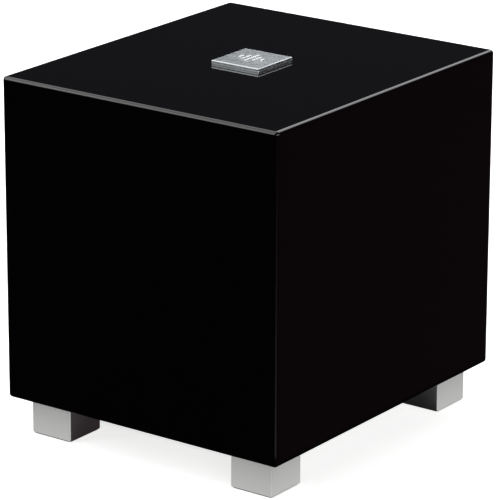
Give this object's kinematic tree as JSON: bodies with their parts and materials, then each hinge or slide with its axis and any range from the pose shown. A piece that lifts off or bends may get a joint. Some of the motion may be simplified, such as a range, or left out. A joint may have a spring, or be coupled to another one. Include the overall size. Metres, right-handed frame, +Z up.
{
  "type": "subwoofer",
  "caption": "Compact powered subwoofer: sealed gloss cabinet on square metal feet, driver in its floor, amplifier panel with controls and sockets in its back.",
  "frame": {"origin": "on the floor under the middle of the whole subwoofer, controls included", "axes": "+Z up; -Y out of the front; the amplifier panel faces +Y; +X to the right seen from the front"},
  "size_m": [0.216, 0.254, 0.2477],
  "materials": {
    "piano_lacquer": "high-gloss black lacquer over fibreboard",
    "raw_fibreboard": "raw medium-density fibreboard",
    "polyester_wool": "loose polyester wadding",
    "foot_aluminium": "satin anodised",
    "foot_rubber": "moulded matt",
    "zinc_steel": "zinc plated",
    "insert_brass": "machined",
    "badge_aluminium": "brushed, anodised",
    "badge_polish": "polished",
    "basket_paint": "black powder coat on cast aluminium",
    "gasket_foam": "closed-cell foam",
    "black_steel": "black oxide",
    "surround_rubber": "moulded",
    "cone_paper": "pressed pulp, coated",
    "spider_cloth": "impregnated cotton",
    "former_film": "polyimide film",
    "coil_copper": "enamelled copper wire",
    "motor_steel": "passivated steel",
    "ferrite": "sintered",
    "terminal_board": "phenolic board with tinned tabs",
    "panel_anodised": "black anodised",
    "mill_aluminium": "extruded",
    "board_resist": "solder resist on glass fibre",
    "winding_tape": "polyester tape round ferrite",
    "capacitor_sleeve": "shrunk sleeve",
    "epoxy_black": "moulded epoxy",
    "lead_red": "wire insulation",
    "tinsel_braid": "braided copper tinsel",
    "knob_plastic": "fine matt moulding",
    "plated_steel": "nickel plated",
    "switch_plastic": "moulded",
    "rocker_gloss": "polished moulding",
    "lamp_lens": "clear blue lens",
    "socket_nylon": "glass-filled nylon",
    "line_plating": "gold plated",
    "line_insert": "moulded",
    "pin_plating": "nickel plated",
    "fuse_glass": "glass tube with plated caps"
  },
  "bodies": {
    "enclosure": {"cabinet_top": "piano_lacquer", "cabinet_front": "piano_lacquer", "cabinet_left": "piano_lacquer", "cabinet_right": "piano_lacquer", "cabinet_back": "piano_lacquer", "cabinet_bottom": "piano_lacquer", "brace": "raw_fibreboard", "wadding": "polyester_wool", "foot_front_left": "foot_aluminium", "foot_front_right": "foot_aluminium", "foot_back_left": "foot_aluminium", "foot_back_right": "foot_aluminium", "foot_pads": "foot_rubber", "foot_bolts": "zinc_steel", "foot_inserts": "insert_brass", "badge_base": "badge_aluminium", "badge_plate": "badge_aluminium", "badge_emblem": "badge_polish", "driver_basket": "basket_paint", "driver_gasket": "gasket_foam", "driver_screws": "black_steel", "surround": "surround_rubber", "spider": "spider_cloth", "top_plate": "motor_steel", "magnet": "ferrite", "yoke": "motor_steel", "terminal_strip": "terminal_board", "tinsel_leads": "tinsel_braid", "amp_panel": "panel_anodised", "amp_gasket": "gasket_foam", "amp_screws": "black_steel", "heat_bracket": "mill_aluminium", "circuit_board": "board_resist", "transformer": "winding_tape", "capacitors": "capacitor_sleeve", "output_devices": "epoxy_black", "speaker_leads": "lead_red", "control_bodies": "plated_steel", "phase_switch": "switch_plastic", "power_switch": "switch_plastic", "status_lamp": "lamp_lens", "high_level_socket": "socket_nylon", "line_socket_shells": "line_plating", "line_socket_inserts": "line_insert", "mains_inlet": "socket_nylon", "mains_pins": "pin_plating"},
    "moving_cone": {"cone": "cone_paper", "dust_cap": "cone_paper", "coil_former": "former_film", "coil_winding": "coil_copper"},
    "level_control": {"level_knob": "knob_plastic", "level_shaft": "plated_steel"},
    "lfe_control": {"lfe_knob": "knob_plastic", "lfe_shaft": "plated_steel"},
    "crossover_control": {"crossover_knob": "knob_plastic", "crossover_shaft": "plated_steel"},
    "phase_control": {"phase_lever": "switch_plastic"},
    "power_control": {"power_rocker": "rocker_gloss"},
    "fuse_carrier": {"fuse_drawer": "socket_nylon", "fuse": "fuse_glass"}
  },
  "joints": [
    {"name": "cone_travel", "type": "slide", "parent": "enclosure", "child": "moving_cone", "axis": [0, 0, 1], "range_m": [-0.006, 0.006], "stiffness_N_per_m": 1500, "deforming": ["surround", "spider", "tinsel_leads"]},
    {"name": "level_turn", "type": "hinge", "parent": "enclosure", "child": "level_control", "pos_m": [0.054, 0.122, 0.18475], "axis": [0, -1, 0], "range_deg": [-150, 150]},
    {"name": "lfe_turn", "type": "hinge", "parent": "enclosure", "child": "lfe_control", "pos_m": [0.018, 0.122, 0.18475], "axis": [0, -1, 0], "range_deg": [-150, 150]},
    {"name": "crossover_turn", "type": "hinge", "parent": "enclosure", "child": "crossover_control", "pos_m": [-0.018, 0.122, 0.18475], "axis": [0, -1, 0], "range_deg": [-150, 150]},
    {"name": "phase_slide", "type": "slide", "parent": "enclosure", "child": "phase_control", "axis": [1, 0, 0], "range_m": [0, 0.004]},
    {"name": "power_rock", "type": "hinge", "parent": "enclosure", "child": "power_control", "pos_m": [-0.014, 0.114, 0.08875], "axis": [-1, 0, 0], "range_deg": [0, 24]},
    {"name": "fuse_slide", "type": "slide", "parent": "enclosure", "child": "fuse_carrier", "axis": [0, 1, 0], "range_m": [0, 0.018]}
  ]
}
